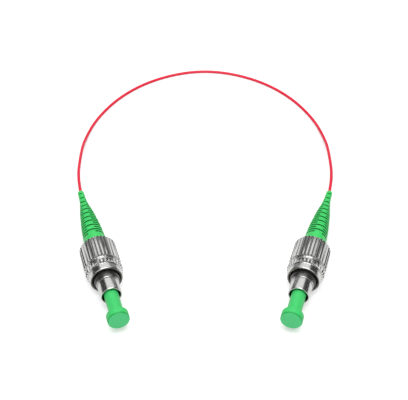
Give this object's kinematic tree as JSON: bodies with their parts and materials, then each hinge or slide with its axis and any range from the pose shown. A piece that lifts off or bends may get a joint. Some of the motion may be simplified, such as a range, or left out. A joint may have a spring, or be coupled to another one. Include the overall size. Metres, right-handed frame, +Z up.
{
  "type": "fibre patch cord",
  "caption": "Short fibre optic jumper in an arch: thin buffered fibre with slotted boots, knurled screw-on keyed connectors and push-on dust caps at both ends.",
  "frame": {"origin": "on the floor under the middle of the two connectors' footprint, the cord left out", "axes": "+Z up, +X from the left connector to the right one, -Y the way the dust caps point"},
  "size_m": [0.0766, 0.1201, 0.01],
  "materials": {
    "nickel": "bright nickel plate",
    "sleeve_metal": "satin nickel plate",
    "inner_metal": "machined",
    "spring_steel": "drawn wire",
    "ceramic": "polished white ceramic",
    "boot_green": "satin elastomer",
    "cap_green": "satin",
    "cord_red": "satin buffer"
  },
  "bodies": {
    "connectors": {"cord": "cord_red", "left_plug_frame": "sleeve_metal", "left_alignment_key_ring": "sleeve_metal", "left_stop_ring": "inner_metal", "left_spring": "spring_steel", "left_boot": "boot_green", "right_plug_frame": "sleeve_metal", "right_alignment_key_ring": "sleeve_metal", "right_stop_ring": "inner_metal", "right_spring": "spring_steel", "right_boot": "boot_green"},
    "left_nut": {"left_coupling_nut": "nickel"},
    "left_ferrule_unit": {"left_ferrule": "ceramic", "left_ferrule_flange": "inner_metal"},
    "left_cap": {"left_dust_cap": "cap_green"},
    "right_nut": {"right_coupling_nut": "nickel"},
    "right_ferrule_unit": {"right_ferrule": "ceramic", "right_ferrule_flange": "inner_metal"},
    "right_cap": {"right_dust_cap": "cap_green"}
  },
  "joints": [
    {"name": "left_nut_spin", "type": "hinge", "parent": "connectors", "child": "left_nut", "pos_m": [-0.0276, -0.00428, 0.005], "axis": [0.2756, -0.9613, 0], "continuous": true},
    {"name": "left_ferrule_float", "type": "slide", "parent": "connectors", "child": "left_ferrule_unit", "axis": [-0.2756, 0.9613, 0], "range_m": [0, 0.0012], "stiffness_N_per_m": 3000, "deforming": ["left_spring"]},
    {"name": "left_cap_pull", "type": "slide", "parent": "left_ferrule_unit", "child": "left_cap", "axis": [0.2756, -0.9613, 0], "range_m": [0, 0.015]},
    {"name": "right_nut_spin", "type": "hinge", "parent": "connectors", "child": "right_nut", "pos_m": [0.0276, -0.00428, 0.005], "axis": [-0.2756, -0.9613, 0], "continuous": true},
    {"name": "right_ferrule_float", "type": "slide", "parent": "connectors", "child": "right_ferrule_unit", "axis": [0.2756, 0.9613, 0], "range_m": [0, 0.0012], "stiffness_N_per_m": 3000, "deforming": ["right_spring"]},
    {"name": "right_cap_pull", "type": "slide", "parent": "right_ferrule_unit", "child": "right_cap", "axis": [-0.2756, -0.9613, 0], "range_m": [0, 0.015]}
  ]
}
